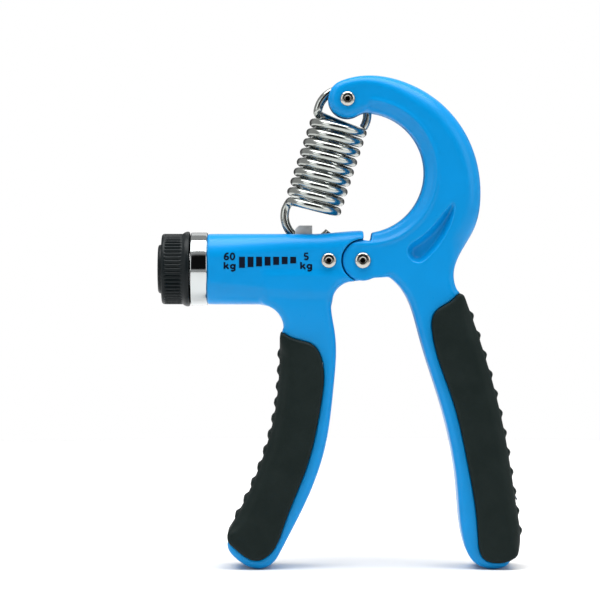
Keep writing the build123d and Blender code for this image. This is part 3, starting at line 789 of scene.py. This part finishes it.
# Strokes of the generic lettering, in letter heights.
STROKES = {
    "6": [oval(0.29, 0.30, 0.20, 0.21), oval(0.42, 0.30, 0.33, 0.61, 180, 72, 10)],
    "0": [oval(0.30, 0.50, 0.21, 0.41)],
    "5": [[(0.51, 0.91), (0.17, 0.91), (0.12, 0.50)], oval(0.29, 0.31, 0.21, 0.22, 140, -145)],
    "k": [[(0.11, 0.0), (0.11, 1.0)], [(0.50, 0.68), (0.14, 0.26)], [(0.25, 0.42), (0.53, 0.0)]],
    "g": [oval(0.29, 0.35, 0.20, 0.26),
          [(0.50, 0.68), (0.50, -0.08)] + oval(0.30, -0.08, 0.20, 0.20, 0, -150, 10)],
}


def flat_text(word, left, base, width, height):
    """A word drawn in ribbons of one width, as a flat mesh in x and z."""
    shape = bmesh.new()
    for i, letter in enumerate(word):
        for line in STROKES[letter]:
            line = np.array(line) * (width, height) + (left + i * LETTER_STEP * width, base)
            way = np.gradient(line, axis=0)
            if np.allclose(line[0], line[-1]):
                way[0] = way[-1] = line[1] - line[-2]
            side = np.stack([-way[:, 1], way[:, 0]], axis=1) * STROKE / 2
            side /= np.linalg.norm(way, axis=1)[:, None]
            rails = [[shape.verts.new((u, 0, w)) for u, w in line + turn * side] for turn in (1, -1)]
            for j in range(len(line) - 1):
                shape.faces.new((rails[0][j], rails[1][j], rails[1][j + 1], rails[0][j + 1]))
    return shape


def flat_bars():
    shape = bmesh.new()
    for i in range(BARS):
        left = BAR_FIRST + i * BAR_STEP - BAR_WIDTH / 2
        height = mix(BAR_TALLEST, BAR_SHORTEST, i / (BARS - 1))
        corners = [(0, 0), (BAR_WIDTH, 0), (BAR_WIDTH, -height), (0, -height)]
        shape.faces.new([shape.verts.new((left + u, 0, BAR_TOP + w)) for u, w in corners])
    return shape


print_on_barrel("scale_60", flat_text("60", -37.2, 100.1, 2.95, 2.45))
print_on_barrel("scale_60_unit", flat_text("kg", -37.3, 97.3, 3.15, 2.2))
print_on_barrel("scale_5", flat_text("5", -11.5, 100.1, 2.95, 2.45))
print_on_barrel("scale_5_unit", flat_text("kg", -12.6, 97.3, 3.15, 2.2))
print_on_barrel("scale_bars", flat_bars())

# ---------------------------------------------------------------- stage, light and camera
FLOOR_R, FLOOR_SIDES = 0.6, 96
floor_mesh = bpy.data.meshes.new("floor")
rim_points = [(FLOOR_R * cos(a), FLOOR_R * sin(a), 0)
              for a in np.linspace(0, 2 * pi, FLOOR_SIDES, endpoint=False)]
floor_mesh.from_pydata(rim_points, [], [tuple(range(FLOOR_SIDES))])
floor = bpy.data.objects.new("floor", floor_mesh)
bpy.context.scene.collection.objects.link(floor)
floor_mesh.materials.append(material("pale_floor", (0.86, 0.86, 0.86), (0.84, 0.84, 0.84), roughness=0.7,
                                     grain=40, bump=0.0, mottle=2))


def area_light(name, at, target, size, power):
    light = bpy.data.lights.new(name, "AREA")
    light.shape = "RECTANGLE"
    light.size, light.size_y = size
    light.energy = power
    holder = bpy.data.objects.new(name, light)
    holder.location = at
    holder.rotation_euler = (Vector(target) - Vector(at)).to_track_quat("-Z", "Y").to_euler()
    bpy.context.scene.collection.objects.link(holder)


centre = (0.0, 0.0, 0.09)
area_light("overhead_softbox", (0.0, -0.15, 1.1), centre, (1.5, 0.8), 23)
area_light("left_softbox", (-1.1, -0.9, 0.5), centre, (0.8, 1.0), 3.8)
area_light("right_softbox", (1.2, -0.7, 0.5), centre, (0.8, 1.0), 3.8)
area_light("back_softbox", (0.2, 1.3, 0.9), centre, (1.2, 0.8), 2.5)

TENT = 0.46  # brightness of the white tent
world = bpy.data.worlds.new("studio")
bpy.context.scene.world = world
world.use_nodes = True
sky, sky_links = world.node_tree.nodes, world.node_tree.links
sky["Background"].inputs["Color"].default_value = (1, 1, 1, 1)
direction = sky.new("ShaderNodeTexCoord")
apart = sky.new("ShaderNodeSeparateXYZ")
sky_links.new(direction.outputs["Generated"], apart.inputs["Vector"])


def between(source, start, end):
    """0 before start, 1 after end, smooth between."""
    ramp = sky.new("ShaderNodeMapRange")
    ramp.interpolation_type = "SMOOTHSTEP"
    ramp.inputs["From Min"].default_value, ramp.inputs["From Max"].default_value = start, end
    sky_links.new(source, ramp.inputs["Value"])
    return ramp.outputs["Result"]


def combined(operation, a, b):
    made = sky.new("ShaderNodeMath")
    made.operation = operation
    for socket, value in zip(made.inputs, (a, b)):
        if isinstance(value, float):
            socket.default_value = value
        else:
            sky_links.new(value, socket)
    return made.outputs["Value"]


# A white tent, with a dark card above and behind the camera and a dimmer patch at the back.
in_front = combined("MULTIPLY", between(apart.outputs["Y"], -0.60, -0.74),
                    between(apart.outputs["Z"], -0.04, 0.02))
at_back = combined("MULTIPLY", between(apart.outputs["Y"], 0.60, 0.90), 0.85)
tent = combined("MULTIPLY", combined("SUBTRACT", 1.0, in_front), combined("SUBTRACT", 1.0, at_back))
tent = combined("ADD", combined("MULTIPLY", tent, TENT), 0.008)
seen = sky.new("ShaderNodeLightPath")
backdrop = sky.new("ShaderNodeMix")
backdrop.inputs["B"].default_value = 1.0
sky_links.new(seen.outputs["Is Camera Ray"], backdrop.inputs["Factor"])
sky_links.new(tent, backdrop.inputs["A"])
sky_links.new(backdrop.outputs["Result"], sky["Background"].inputs["Strength"])

SENSOR = 36
CAMERA_DISTANCE, CAMERA_HEIGHT = 1.0, 0.111
VIEW_WIDTH = 0.1957  # what the frame's width takes in at the object
VIEW_CENTRE = (-0.0126, 0.087)
camera = bpy.data.cameras.new("camera")
camera.sensor_width = SENSOR
camera.lens = SENSOR * CAMERA_DISTANCE / VIEW_WIDTH
camera.shift_y = (VIEW_CENTRE[1] - CAMERA_HEIGHT) / VIEW_WIDTH
holder = bpy.data.objects.new("camera", camera)
holder.location = (VIEW_CENTRE[0], -CAMERA_DISTANCE, CAMERA_HEIGHT)
holder.rotation_euler = (radians(90), 0, 0)
bpy.context.scene.collection.objects.link(holder)
bpy.context.scene.camera = holder
bpy.context.scene.view_settings.view_transform = "Standard"
